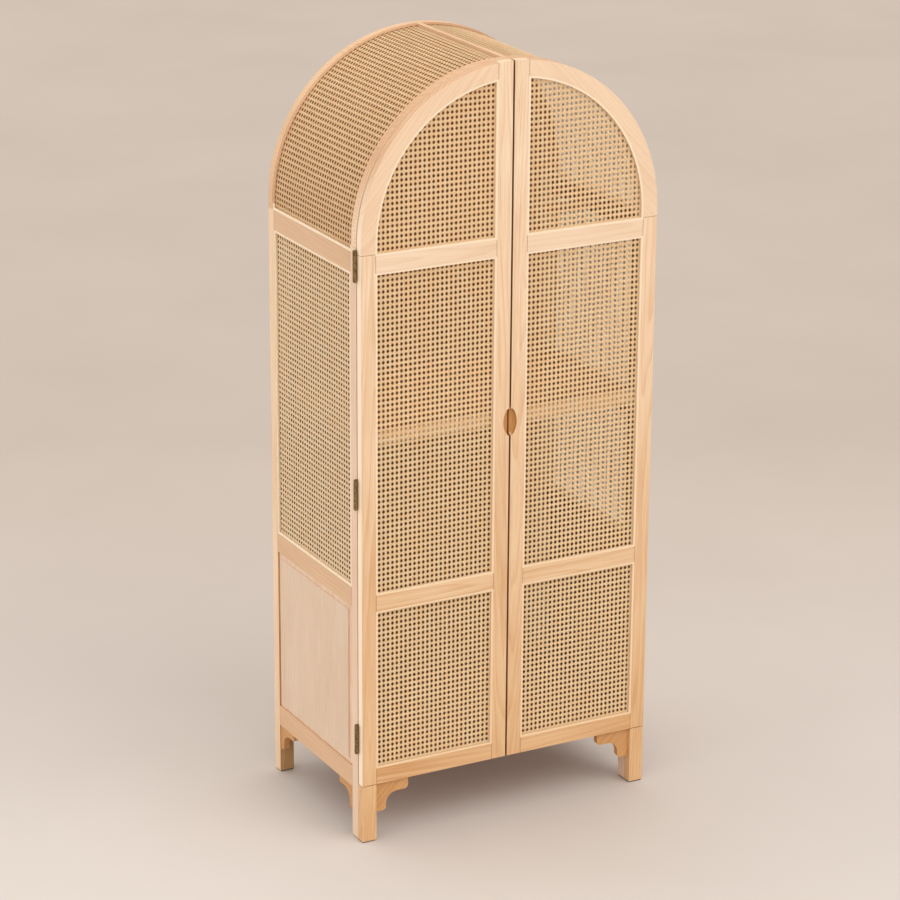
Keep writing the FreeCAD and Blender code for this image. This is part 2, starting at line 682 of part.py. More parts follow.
# One screw, pointing along +Y from the face of a hinge leaf
ALONG_Y = FreeCAD.Rotation(FreeCAD.Vector(1, 0, 0), -90)
head = doc.addObject("Part::Cone", "screw_head_cone")
head.Placement = FreeCAD.Placement(FreeCAD.Vector(), ALONG_Y)
head.setExpression("Radius1", bound("screw_head"))
head.setExpression("Radius2", bound("screw_shank"))
head.setExpression("Height", bound("leaf_thick"))
shank = rod("screw_shank_rod", "screw_shank", "screw_long", ALONG_Y)
screw_blank = joined("screw_blank", [head, shank])
slot_x = ("-screw_head", "screw_head")
slot = block("screw_slot_cut", slot_x, ("0", "leaf_thick/2"), ("-screw_slot/2", "screw_slot/2"))
screw = cut("hinge_screw", screw_blank, slot)

# One hinge of two leaves and a pin about the Z axis, on the left of what it joins
TURN_OVER = FreeCAD.Rotation(FreeCAD.Vector(0, 1, 0), 180)
LEAF_X = ("barrel + barrel_play", "barrel + barrel_play + leaf_wide")
SCREW_X = "barrel + barrel_play + leaf_wide/2"
FRAME_LEAF_Y = ("door_gap - leaf_thick", "door_gap")
DOOR_LEAF_Y = ("0", "leaf_thick")
KNUCKLE = f"hinge_high/{KNUCKLES}"


def hinge_leaf(name, y, root, numbers, facing):
    """Make a leaf between two planes, with its share of the knuckles and its screw holes.

    The tabs that join it to its knuckles start at the distance root from the axis.
    """
    members = [block(f"{name}_flap", LEAF_X, y, ("-hinge_high/2", "hinge_high/2"))]
    for number in numbers:
        low = f"-hinge_high/2 + {number}*{KNUCKLE} + knuckle_play/2"
        knuckle = rod(f"{name}_knuckle_{number}", "barrel", f"{KNUCKLE} - knuckle_play")
        members.append(place(knuckle, z=low))
        tab_z = (low, f"{low} + {KNUCKLE} - knuckle_play")
        members.append(block(f"{name}_tab_{number}", (root, LEAF_X[0]), y, tab_z))
    bore = place(rod(f"{name}_bore", "pin + pin_play", "hinge_high"), z="-hinge_high/2")
    holes = [bore]
    face = y[1] if facing else y[0]
    for step in SCREW_STEPS:
        spot = (SCREW_X, face, f"{step}*screw_pitch")
        holes.append(copy(f"{name}_hole_{step + 1}", screw_blank, *spot, facing))
    return cut(f"{name}_leaf", joined(f"{name}_blank", members), group(f"{name}_holes", holes))


frame_leaf = hinge_leaf("frame", FRAME_LEAF_Y, "0", range(0, KNUCKLES, 2), None)
door_leaf = hinge_leaf("door", DOOR_LEAF_Y, "pin + barrel/4", range(1, KNUCKLES, 2), HALF_TURN)
pin_body = place(rod("pin_body", "pin", "hinge_high"), z="-hinge_high/2")
pin_heads = []
for low in ("hinge_high/2", "-hinge_high/2 - pin_head_high"):
    button = rod(f"pin_head_{len(pin_heads)}", "pin_head", "pin_head_high")
    pin_heads.append(place(button, z=low))
hinge_pin = joined("hinge_pin", [pin_body] + pin_heads)

# Six hinges, three beside each door
frame_leaves = []
pins = []
frame_screws = []
for side in SIDES:
    sign = "-" if side == "left" else ""
    over = None if side == "left" else TURN_OVER
    screw_x = f"{sign}({HINGE_X} - ({SCREW_X}))"
    door_leaves = []
    door_screws = []
    for number, hinge_z in enumerate(HINGES):
        spot = f"{side}_{number}"
        axis = (f"{sign}{HINGE_X}", HINGE_Y, hinge_z)
        frame_leaves.append(copy(f"frame_leaf_{spot}", frame_leaf, *axis, over))
        door_leaves.append(copy(f"door_leaf_{spot}", door_leaf, *axis, over))
        pins.append(copy(f"pin_{spot}", hinge_pin, *axis))
        for step in SCREW_STEPS:
            screw_z = f"{hinge_z} + {step}*screw_pitch"
            name = f"{spot}_{step + 1}"
            frame_y = f"{HINGE_Y} + {FRAME_LEAF_Y[0]}"
            frame_screws.append(copy(f"frame_screw_{name}", screw, screw_x, frame_y, screw_z))
            door_y = f"{HINGE_Y} + {DOOR_LEAF_Y[1]}"
            door_screws.append(copy(f"door_screw_{name}", screw, screw_x, door_y, screw_z, HALF_TURN))
    keep(group(f"{side}_leaf_set", door_leaves), f"{side}_hinge_leaves")
    keep(group(f"{side}_screw_set", door_screws), f"{side}_hinge_screws")
keep(group("frame_leaf_set", frame_leaves), "hinge_frame_leaves")
keep(group("pin_set", pins), "hinge_pins")
keep(group("frame_screw_set", frame_screws), "hinge_frame_screws")

# Magnetic catches under the shelf's front edge, each facing a plate on its door
catch_front = f"{DOOR_BACK} + plate_thick + catch_play"
catch_z = (f"{SHELF_UNDER} - catch_high", SHELF_UNDER)
catches = []
for side in SIDES:
    catch_x = on_side(side, "-catch_mid - catch_wide/2", "-catch_mid + catch_wide/2")
    catches.append(block(f"catch_{side}", catch_x, (catch_front, f"{catch_front} + catch_long"), catch_z))
    plate_y = (DOOR_BACK, f"{DOOR_BACK} + plate_thick")
    keep(block(f"{side}_plate", catch_x, plate_y, catch_z), f"{side}_catch_plate")
keep(group("catch_pair", catches), "door_catches")

doc.recompute()
for item in doc.Objects:
    if "Invalid" in item.State or "Error" in item.State:
        raise RuntimeError(f"{item.Name} failed: {item.State}")
for piece in pieces:
    if piece.Shape.isNull() or not piece.Shape.isValid() or not piece.Shape.Solids:
        raise RuntimeError(f"{piece.Label} has no valid solid")

os.makedirs("parts", exist_ok=True)
for piece in pieces:
    piece.Shape.exportStep(f"parts/{piece.Label}.step")
print(f"{len(pieces)} pieces, {sum(len(piece.Shape.Solids) for piece in pieces)} solids")
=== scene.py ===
"""Arched wardrobe: woven cane, grained light wood and aged brass in a plain studio."""
import math
import random

import bpy
import numpy as np
from mathutils import Matrix, Vector


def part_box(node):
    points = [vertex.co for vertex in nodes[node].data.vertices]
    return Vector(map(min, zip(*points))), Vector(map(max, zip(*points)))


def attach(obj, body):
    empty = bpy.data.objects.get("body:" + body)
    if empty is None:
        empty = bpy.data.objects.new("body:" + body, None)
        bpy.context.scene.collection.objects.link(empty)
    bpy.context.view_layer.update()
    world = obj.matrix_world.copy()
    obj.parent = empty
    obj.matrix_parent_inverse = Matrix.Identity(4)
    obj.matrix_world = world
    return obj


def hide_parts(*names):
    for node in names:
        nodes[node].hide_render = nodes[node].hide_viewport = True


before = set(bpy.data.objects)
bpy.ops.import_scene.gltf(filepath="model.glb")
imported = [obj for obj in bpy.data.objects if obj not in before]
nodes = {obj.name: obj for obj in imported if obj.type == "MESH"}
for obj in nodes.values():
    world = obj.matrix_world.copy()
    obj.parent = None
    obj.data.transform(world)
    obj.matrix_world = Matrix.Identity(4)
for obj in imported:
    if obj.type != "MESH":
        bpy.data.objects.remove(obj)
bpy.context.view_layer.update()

# Sizes in metres that the CAD gives
ARCH_MID = 1.515
DOOR_ARCH_RADIUS = 0.362
VAULT_RADIUS = 0.3935
SPRING = 1.494
RIDGE_HALF = 0.006
DOOR_INNER = 0.0405
DOOR_EDGE = 0.362
SIDE_ENDS = (-0.195, 0.220)

# The cane: pairs of upright and level strands and single slanting ones, around eight-sided holes
STRAND_WIDE = 0.0022
STRAND_THICK = 0.0005
PAIR_SPACING = 0.0026
PAIR_LIFT = 0.00026
SLANT_WIDE = 0.0021
SLANT_THICK = 0.00045
SLANT_LIFT = 0.00055

# Scale of the strands' widths in the doors, the sides and the vault, and the pitch of the holes
DOOR_SLIM = 0.87
SIDE_SLIM = 1.02
VAULT_SLIM = 0.75
DOOR_PITCH = (0.01194, 0.01329)
SIDE_PITCH = (0.0127, 0.0133)


def srgb(red, green, blue):
    """Turn a colour of 0 to 255 into linear light."""
    parts = [value / 255 for value in (red, green, blue)]
    return tuple(p / 12.92 if p <= 0.04045 else ((p + 0.055) / 1.055) ** 2.4 for p in parts) + (1.0,)


# Node materials


def new_material(name):
    """Start a material with a principled shader."""
    material = bpy.data.materials.new(name)
    material.use_nodes = True
    tree = material.node_tree
    tree.nodes.clear()
    shader = tree.nodes.new("ShaderNodeBsdfPrincipled")
    output = tree.nodes.new("ShaderNodeOutputMaterial")
    tree.links.new(shader.outputs["BSDF"], output.inputs["Surface"])
    return material, tree, shader


def node(tree, kind, sockets=None, **settings):
    """Add a node, with its settings, and its sockets linked or set."""
    made = tree.nodes.new(f"ShaderNode{kind}")
    for key, value in settings.items():
        setattr(made, key, value)
    for key, value in (sockets or {}).items():
        if isinstance(value, bpy.types.NodeSocket):
            tree.links.new(value, made.inputs[key])
        else:
            made.inputs[key].default_value = value
    return made


def ramp(tree, source, stops):
    """Map a value through a grey ramp of (position, value) stops."""
    made = node(tree, "ValToRGB", {"Fac": source})
    elements = made.color_ramp.elements
    while len(elements) < len(stops):
        elements.new(0.5)
    for element, (position, value) in zip(elements, stops):
        element.position = position
        element.color = (value, value, value, 1)
    return made.outputs["Color"]


def mixed(tree, factor, first, second, blend="MIX"):
    """Mix two colours."""
    made = tree.nodes.new("ShaderNodeMix")
    made.data_type = "RGBA"
    made.blend_type = blend
    for socket, value in ((made.inputs[0], factor), (made.inputs[6], first), (made.inputs[7], second)):
        if isinstance(value, bpy.types.NodeSocket):
            tree.links.new(value, socket)
        else:
            socket.default_value = value
    return made.outputs[2]


def spread(tree, value, low, high, start=0.0, end=1.0):
    """Map a value from the range low to high onto start to end, and hold it at the ends."""
    limits = {"From Min": low, "From Max": high, "To Min": start, "To Max": end}
    return node(tree, "MapRange", {"Value": value, **limits}).outputs[0]


def figure(tree, operation, first, second=0.0):
    """Work out one step of arithmetic on values."""
    return node(tree, "Math", {0: first, 1: second}, operation=operation).outputs[0]


def bump(tree, shader, height, strength, distance):
    """Raise a surface by a grey height."""
    made = node(tree, "Bump", {"Height": height, "Strength": strength, "Distance": distance})
    tree.links.new(made.outputs["Normal"], shader.inputs["Normal"])


def near_planes(tree, place, planes):
    """Give 1 within a hair's breadth of any of the planes (axis, level), and 0 away from them."""
    axes = node(tree, "SeparateXYZ", {"Vector": place}).outputs
    shade = None
    for axis, level in planes:
        away = figure(tree, "ABSOLUTE", figure(tree, "SUBTRACT", axes[axis], level))
        line = spread(tree, away, 0.0005, 0.0017, 1.0, 0.0)
        shade = line if shade is None else figure(tree, "MAXIMUM", shade, line)
    return shade


GRAIN_TURNS = {"x": (0, -math.pi / 2, 0), "y": (math.pi / 2, 0, 0), "z": (0, 0, 0)}
HEART = 0.045
RING_SPACING = 0.0085
GRAIN_STRETCH = 0.09
GRAIN_DRIFT = 0.03
SEAM = srgb(150, 104, 62)


def wood(name, piece, turn, light, dark, seed, contrast=1.0, heart=HEART, seams=(), floor_shade=None,
         edge=None, below=(), rim=None, scoop=None):
    """Make light wood whose grain runs along the Z axis once the object is turned.

    The rings go round a line that leans past the piece at the distance heart, so that they show as
    arches where it is near and as straight lines where it is far. Floor shade is a painted tint,
    darker and warmer towards the floor, for shade and warm bounce light. Edge gives other shades to
    the faces that look along an axis, one way or both ways: painted shade on inner and shaded faces,
    a painted highlight on paler door edges and a lit front on the shelf. Below gives other shades
    under each of some heights. Rim holds the shades of an arch's outer edge, upright with a painted
    highlight and level with painted shade, and scoop the centre and the painted shade of a hollow
    in the front.
    """
    material, tree, shader = new_material(name)
    draw = random.Random(seed)
    low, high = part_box(piece)
    place = node(tree, "TexCoord").outputs["Object"]
    centred = node(tree, "Mapping", {"Vector": place, "Location": -(low + high) / 2}).outputs[0]
    lean = [angle + draw.choice((-1, 1)) * draw.uniform(0.015, 0.045) for angle in turn]
    shift = [draw.uniform(-0.018, 0.018), heart * draw.uniform(0.8, 1.3), draw.uniform(-0.3, 0.3)]
    turned = node(tree, "Mapping", {"Vector": centred, "Rotation": lean, "Location": shift}).outputs[0]
    along = node(tree, "Mapping", {"Vector": turned, "Scale": (1, 1, GRAIN_STRETCH)}).outputs[0]
    noise = node(tree, "TexNoise", {"Vector": along, "Scale": 22, "Detail": 1, "Roughness": 0.4})
    drift = noise.outputs["Color"]
    drift = node(tree, "VectorMath", {0: drift, 1: (0.5, 0.5, 0.5)}, operation="SUBTRACT").outputs[0]
    drift = node(tree, "VectorMath", {0: drift, "Scale": GRAIN_DRIFT}, operation="SCALE").outputs[0]
    along = node(tree, "VectorMath", {0: along, 1: drift}, operation="ADD").outputs[0]
    rings = node(
        tree,
        "TexWave",
        {
            "Vector": along,
            "Scale": 2 * math.pi / (20 * RING_SPACING),
            "Distortion": 6.0,
            "Detail": 2.0,
            "Detail Scale": 0.7,
            "Detail Roughness": 0.5,
        },
        wave_type="RINGS",
        rings_direction="Z",
        wave_profile="SAW",
    )
    late = ramp(tree, rings.outputs["Fac"], ((0, 0.0), (0.5, 0.12), (0.86, 0.9), (0.94, 1.0), (1, 0.0)))
    fine = node(tree, "Mapping", {"Vector": turned, "Scale": (1, 1, 0.018)}).outputs[0]
    fibre = node(tree, "TexNoise", {"Vector": fine, "Scale": 340, "Detail": 3, "Roughness": 0.65})
    pores = ramp(tree, fibre.outputs["Fac"], ((0.38, 0), (0.66, 1)))
    broad = node(tree, "Mapping", {"Vector": turned, "Scale": (1, 1, 0.2)}).outputs[0]
    cloud = node(tree, "TexNoise", {"Vector": broad, "Scale": 16, "Detail": 2, "Roughness": 0.5})
    tone = ramp(tree, cloud.outputs["Fac"], ((0.3, 0), (0.7, 1)))
    lines = mixed(tree, 0.46, late, pores)
    amount = mixed(tree, 0.3, lines, tone)
    warm = draw.uniform(-0.03, 0.03)
    shades = []
    for colour in (light, [l + (d - l) * contrast for d, l in zip(dark, light)]):
        shades.append((colour[0], colour[1] * (1 - warm / 2), colour[2] * (1 - warm), 1))
    colour = mixed(tree, amount, *shades)
    height = node(tree, "SeparateXYZ", {"Vector": place}).outputs[2]
    normal = node(tree, "SeparateXYZ", {"Vector": node(tree, "TexCoord").outputs["Normal"]}).outputs
    # Painted shade: darker and warmer towards the floor, for shade and warm bounce light
    if floor_shade:
        fall = spread(tree, height, 0.1, 1.7, 1.0, 0.0)
        colour = mixed(tree, fall, colour, mixed(tree, 1.0, colour, floor_shade, "MULTIPLY"))
    # Painted shade or highlight on the faces that look along an axis
    if edge:
        axis, way, other = edge
        if way:
            facing = figure(tree, "MULTIPLY", normal[axis], way)
        else:
            facing = figure(tree, "ABSOLUTE", normal[axis])
        colour = mixed(tree, spread(tree, facing, 0.5, 0.9), colour, mixed(tree, amount, *other))
    for top, other in below:
        under = figure(tree, "LESS_THAN", height, top)
        colour = mixed(tree, under, colour, mixed(tree, amount, *other))
    # Painted highlight on the upright part of the outer edge, painted shade where it faces up
    if rim:
        upright, level = [mixed(tree, amount, *other) for other in rim]
        outer = spread(tree, figure(tree, "ABSOLUTE", normal[1]), 0.35, 0.75, 1.0, 0.0)
        edging = mixed(tree, spread(tree, normal[2], 0.05, 0.5), upright, level)
        colour = mixed(tree, outer, colour, edging)
    # Painted shade in the hollow of the finger scoop
    if scoop:
        middle, other = scoop
        away = node(tree, "VectorMath", {0: place, 1: middle}, operation="DISTANCE").outputs["Value"]
        near = spread(tree, away, 0.03, 0.036, 1.0, 0.0)
        depth = node(tree, "SeparateXYZ", {"Vector": place}).outputs[1]
        sunk = spread(tree, depth, -0.2497, -0.248)
        hollow = figure(tree, "MULTIPLY", near, sunk)
        colour = mixed(tree, hollow, colour, mixed(tree, amount, *other))
    if seams:
        colour = mixed(tree, near_planes(tree, place, seams), colour, SEAM)
    tree.links.new(colour, shader.inputs["Base Color"])
    tree.links.new(ramp(tree, lines, ((0, 0.48), (1, 0.62))), shader.inputs["Roughness"])
    bump(tree, shader, lines, 0.12, 0.0004)
    return material


def cane_material(name, light, dark, pith_and_shade):
    """Make cane with a glossy skin, whose tone differs from strand to strand, and a dull brown back
    darkened with painted shade.
    """
    material, tree, shader = new_material(name)
    strand = node(tree, "Attribute", attribute_name="tone").outputs["Fac"]
    place = node(tree, "TexCoord").outputs["Object"]
    patch = node(tree, "TexNoise", {"Vector": place, "Scale": 45, "Detail": 3, "Roughness": 0.6})
    patches = ramp(tree, patch.outputs["Fac"], ((0.35, 0), (0.75, 1)))
    fleck = node(tree, "TexNoise", {"Vector": place, "Scale": 700, "Detail": 2, "Roughness": 0.6})
    flecks = ramp(tree, fleck.outputs["Fac"], ((0.45, 0), (0.75, 1)))
    amount = mixed(tree, 0.4, strand, mixed(tree, 0.4, patches, flecks))
    back = node(tree, "Attribute", attribute_name="back").outputs["Fac"]
    behind = ramp(tree, back, ((0.55, 0), (0.8, 1)))
    colour = mixed(tree, behind, mixed(tree, amount, light, dark), mixed(tree, amount, pith_and_shade, dark))
    tree.links.new(colour, shader.inputs["Base Color"])
    tree.links.new(ramp(tree, patches, ((0, 0.36), (1, 0.5))), shader.inputs["Roughness"])
    bump(tree, shader, flecks, 0.1, 0.0002)
    return material


def worn_metal(name, light, dark, rough):
    """Make a metal with cloudy tarnish."""
    material, tree, shader = new_material(name)
    place = node(tree, "TexCoord").outputs["Object"]
    cloud = node(tree, "TexNoise", {"Vector": place, "Scale": 180, "Detail": 4, "Roughness": 0.65})
    amount = ramp(tree, cloud.outputs["Fac"], ((0.3, 0), (0.7, 1)))
    tree.links.new(mixed(tree, amount, light, dark), shader.inputs["Base Color"])
    tree.links.new(ramp(tree, amount, ((0, rough), (1, rough + 0.2))), shader.inputs["Roughness"])
    shader.inputs["Metallic"].default_value = 1.0
    bump(tree, shader, amount, 0.05, 0.0003)
    return material


def matt(name, light, dark, scale, depth):
    """Make a dull grained material."""
    material, tree, shader = new_material(name)
    place = node(tree, "TexCoord").outputs["Object"]
    grain = node(tree, "TexNoise", {"Vector": place, "Scale": scale, "Detail": 4, "Roughness": 0.7})
    amount = ramp(tree, grain.outputs["Fac"], ((0.3, 0), (0.7, 1)))
    tree.links.new(mixed(tree, amount, light, dark), shader.inputs["Base Color"])
    shader.inputs["Roughness"].default_value = 0.85
    bump(tree, shader, amount, 0.3, depth)
    return material


def wear(piece, material):
    """Give an object one material in all its slots."""
    piece.data.materials.clear()
    piece.data.materials.append(material)


# Colours of the wood, each a light and a dark shade, and tints towards the floor that paint shade and
# warm bounce light
FRAME = (srgb(249, 224, 195), srgb(223, 181, 138))
BEAD = (srgb(255, 240, 216), srgb(246, 218, 184))
STRIP = (srgb(252, 230, 202), srgb(242, 210, 174))
ARCH = (srgb(244, 214, 182), srgb(216, 174, 134))
CROSSRAIL = (srgb(246, 222, 196), srgb(223, 181, 140))
# Painted shade on the side rails, which get less light than the front
SIDE_RAIL_SHADE = (srgb(227, 190, 153), srgb(198, 154, 114))
PANEL = (srgb(231, 206, 182), srgb(211, 179, 150))
POST = (srgb(240, 214, 190), srgb(222, 182, 150))
# Painted shade on the leg brackets, under the doors
BRACKET_SHADE = (srgb(230, 192, 146), srgb(198, 150, 100))
RIB = (srgb(234, 196, 158), srgb(210, 168, 128))
# Painted shade on the front faces of the rear posts, under the carcass
REAR_FACE_SHADE = (srgb(204, 162, 112), srgb(176, 132, 84))
# Painted shade on the meeting edges of the doors, for the dark gap between them
MEETING_GAP_SHADE = (srgb(176, 126, 76), srgb(148, 102, 58))
# Painted shade inside the finger scoop
SCOOP_SHADE = (srgb(208, 154, 88), srgb(180, 124, 64))
# Painted shade on the upward faces of the arches' outer edges and on the vault's beads
RIM_TOP_SHADE = (srgb(226, 184, 146), srgb(200, 154, 114))
# Painted shade for the inside of the wardrobe and the inner faces of the carcass
INSIDE_SHADE = (srgb(174, 112, 44), srgb(144, 86, 28))
# Paler edge lipping on the doors' edges, with a painted highlight
DOOR_EDGE_LIPPING_AND_HIGHLIGHT = (srgb(255, 238, 214), srgb(250, 226, 196))
# Painted light on the shelf's front edge, against the painted shade of the rest
SHELF_LIT_EDGE = (srgb(248, 214, 172), srgb(236, 194, 146))
FLOOR_SHADE_TINT = (0.84, 0.69, 0.5, 1)
STRIP_FLOOR_SHADE_TINT = (0.9, 0.81, 0.68, 1)

# Heights at which strips and posts change shade, and the middle of the finger scoop
BEAD_TOP = 1.51
STRIP_TOP = 0.63
FLOOR_TOP = 0.19
SCOOP_MIDDLE = (0.0, -0.25, 1.031)

# Which way the grain runs in each piece of wood, and where it meets its neighbours
GRAIN = {
    "x": ["front_base_rail", "rear_base_rail", "middle_shelf", "hanging_rail"],
    "y": ["ridge_strip", "shelf_cleats", "floor_panel"],
    "z": ["front_leg_blocks", "back_panel", "rail_sockets"],
}
LEANS = {"front_arch_rib": 0, "rear_arch_rib": 0, "leg_brackets": 1}
SEAMS = {}
FRONT = ["front_leg_blocks", "leg_brackets"]
for side, sign in (("left", -1), ("right", 1)):
    door_rails = [f"{side}_{name}" for name in ("upper_crossrail", "lower_crossrail", "bottom_rail")]
    side_rails = [f"side_{level}_rail_{side}" for level in ("upper", "middle", "bottom")]
    stiles = [f"{side}_outer_stile", f"{side}_meeting_stile"]
    GRAIN["x"] += door_rails
    GRAIN["y"] += side_rails
    GRAIN["z"] += stiles + [f"{end}_post_{side}" for end in ("front", "rear")] + [f"side_panel_{side}"]
    LEANS[f"{side}_arch_rail"] = -sign
    FRONT += door_rails + stiles
    for name in door_rails:
        SEAMS[name] = [(0, sign * DOOR_INNER), (0, sign * DOOR_EDGE)]
    for name in side_rails:
        SEAMS[name] = [(1, end) for end in SIDE_ENDS]
    SEAMS[f"{side}_arch_rail"] = [(0, sign * DOOR_INNER), (2, SPRING)]
BEADS = ["carcass_beads", "left_cane_beads", "right_cane_beads"]
ARCH_LEAN = math.radians(42)
# Pieces inside the wardrobe, in painted shade
INSIDE = ("middle_shelf", "floor_panel", "hanging_rail", "rail_sockets", "shelf_cleats")
TONES = {name: INSIDE_SHADE for name in INSIDE}
TONES["leg_brackets"] = BRACKET_SHADE
TONES["ridge_strip"] = RIB
TONES["back_panel"] = PANEL
# Faces that take other shades by the way they look: mostly painted shade, with a painted highlight on
# the door edges and a lit shelf front
EDGES = {
    "middle_shelf": (1, -1, SHELF_LIT_EDGE),
    "rear_arch_rib": (1, -1, INSIDE_SHADE),
    "ridge_strip": (2, -1, INSIDE_SHADE),
    "back_panel": (1, -1, INSIDE_SHADE),
}
HEARTS = {"back_panel": 0.4}
CONTRASTS = {"front_arch_rib": 0.4, "rear_arch_rib": 0.4}
for side, sign in (("left", -1), ("right", 1)):
    TONES[f"side_panel_{side}"] = PANEL
    TONES[f"{side}_arch_rail"] = ARCH
    TONES[f"{side}_upper_crossrail"] = CROSSRAIL
    EDGES[f"{side}_outer_stile"] = (0, 0, DOOR_EDGE_LIPPING_AND_HIGHLIGHT)
    EDGES[f"side_panel_{side}"] = (0, -sign, INSIDE_SHADE)
    EDGES[f"front_post_{side}"] = (0, -sign, INSIDE_SHADE)
    EDGES[f"rear_post_{side}"] = (1, -1, REAR_FACE_SHADE)
    EDGES[f"{side}_meeting_stile"] = (0, -sign, MEETING_GAP_SHADE)
    TONES[f"front_post_{side}"] = POST
    HEARTS[f"side_panel_{side}"] = 0.7
    CONTRASTS[f"{side}_arch_rail"] = 0.55
    CONTRASTS[f"{side}_upper_crossrail"] = 0.6
    CONTRASTS[f"{side}_bottom_rail"] = 1.2
    CONTRASTS[f"{side}_lower_crossrail"] = 1.1
    for level in ("upper", "middle", "bottom"):
        rail = f"side_{level}_rail_{side}"
        TONES[rail] = SIDE_RAIL_SHADE
        EDGES[rail] = (0, -sign, INSIDE_SHADE)
        CONTRASTS[rail] = 0.6

turns = {name: GRAIN_TURNS[axis] for axis, names in GRAIN.items() for name in names}
for name, lean in LEANS.items():
    turns[name] = (0, -lean * ARCH_LEAN, 0) if lean else GRAIN_TURNS["x"]
for name, turn in turns.items():
    extras = {"heart": HEARTS.get(name, HEART), "seams": SEAMS.get(name, ())}
    extras["contrast"] = CONTRASTS.get(name, 1.0)
    if name in FRONT:
        extras["floor_shade"] = FLOOR_SHADE_TINT
    if name in EDGES:
        extras["edge"] = EDGES[name]
    if name.endswith("arch_rail"):
        extras["rim"] = (DOOR_EDGE_LIPPING_AND_HIGHLIGHT, RIM_TOP_SHADE)
    if name.endswith("arch_rib"):
        extras["rim"] = (FRAME, RIM_TOP_SHADE) if name.startswith("front") else (RIB, RIB)
    if name.startswith("front_post"):
        extras["below"] = [(FLOOR_TOP, POST)]
    if name.endswith("meeting_stile"):
        extras["scoop"] = (SCOOP_MIDDLE, SCOOP_SHADE)
    shades = TONES.get(name, FRAME)
    wear(nodes[name], wood(f"wood_{name}", name, turn, *shades, f"wood {name}", **extras))
for name in BEADS:
    shades = STRIP
    extras = {"floor_shade": STRIP_FLOOR_SHADE_TINT}
    if name == "carcass_beads":
        shades = RIM_TOP_SHADE
        extras = {"below": [(BEAD_TOP, BEAD), (STRIP_TOP, POST)]}
    made = wood(f"wood_{name}", name, GRAIN_TURNS["z"], *shades, f"wood {name}", 0.6, **extras)
    wear(nodes[name], made)
wooden = list(turns)

brass = worn_metal("aged_brass", srgb(172, 146, 100), srgb(96, 72, 42), 0.38)
for name in ("hinge_frame_leaves", "hinge_pins", "hinge_frame_screws"):
    wear(nodes[name], brass)
for side in ("left", "right"):
    wear(nodes[f"{side}_hinge_leaves"], brass)
    wear(nodes[f"{side}_hinge_screws"], brass)
    zinc = worn_metal(f"zinc_{side}", srgb(190, 190, 186), srgb(150, 150, 148), 0.3)
    wear(nodes[f"{side}_catch_plate"], zinc)
wear(nodes["foot_pads"], matt("felt", srgb(44, 36, 32), srgb(22, 18, 16), 1500, 0.0004))
wear(nodes["door_catches"], matt("catch_plastic", srgb(116, 82, 52), srgb(98, 68, 42), 900, 0.0001))

# Woven cane


def span(inside, point, step, low, high):
    """Find the first and last place at which a straight line is inside a region without hollows."""
    places = np.linspace(low, high, 400)
    within = [inside(*(point + step * place)) for place in places]
    if not any(within):
        return None
    first = within.index(True)
    last = len(within) - 1 - within[::-1].index(True)
    ends = []
    for good, bad in ((first, first - 1), (last, last + 1)):
        good_place = places[good]
        if 0 <= bad < len(places):
            bad_place = places[bad]
            for _ in range(30):
                middle = (good_place + bad_place) / 2
                if inside(*(point + step * middle)):
                    good_place = middle
                else:
                    bad_place = middle
        ends.append(good_place)
    return ends


def strands(box, inside, pitch, slim):
    """Lay out the strands over a sheet: for each, its points, heights, width and thickness."""
    (low_s, low_t), (high_s, high_t) = box
    middle = np.array([(low_s + high_s) / 2, (low_t + high_t) / 2])
    size = np.array([high_s - low_s, high_t - low_t])
    columns, rows = (int(size[k] / pitch[k] / 2) + 1 for k in (0, 1))
    reach = float(np.hypot(*size))
    half = slim * PAIR_SPACING / 2
    laid = []

    def lay(point, step, crossings, width, thick):
        found = span(inside, point, step, -reach, reach)
        if found is None or found[1] - found[0] < width:
            return
        kept = [(place, lift) for place, lift in crossings if found[0] < place < found[1]]
        places = [(found[0], 0.0)] + kept + [(found[1], 0.0)]
        points = np.array([point + step * place for place, _ in places])
        laid.append((points, np.array([lift for _, lift in places]), step, width, thick))

    for way, count, other in ((1, columns, rows), (0, rows, columns)):
        step = np.array([1.0 - way, float(way)])
        across = step[::-1]
        for number in range(-count, count + 1):
            for partner in (-1, 1):
                point = middle + across * (number * pitch[1 - way] + partner * half)
                first = PAIR_LIFT * (-partner if way else partner)
                crossings = []
                for crossed in range(-other, other + 1):
                    place = crossed * pitch[way]
                    crossings += [(place - half, first), (place + half, -first)]
                lay(point, step, crossings, slim * STRAND_WIDE, STRAND_THICK)
    length = float(np.hypot(*pitch))
    for slope in (1, -1):
        step = np.array([pitch[0], slope * pitch[1]]) / length
        for number in range(-columns - rows, columns + rows + 1):
            point = middle + np.array([(number + 0.5) * pitch[0], 0.0])
            crossings = []
            for half_step in range(-2 * (columns + rows), 2 * (columns + rows) + 1):
                lift = SLANT_LIFT * (1 if half_step % 2 else -1) * slope
                crossings.append((half_step * length / 2, lift))
            lay(point, step, crossings, slim * SLANT_WIDE, SLANT_THICK)
    return laid


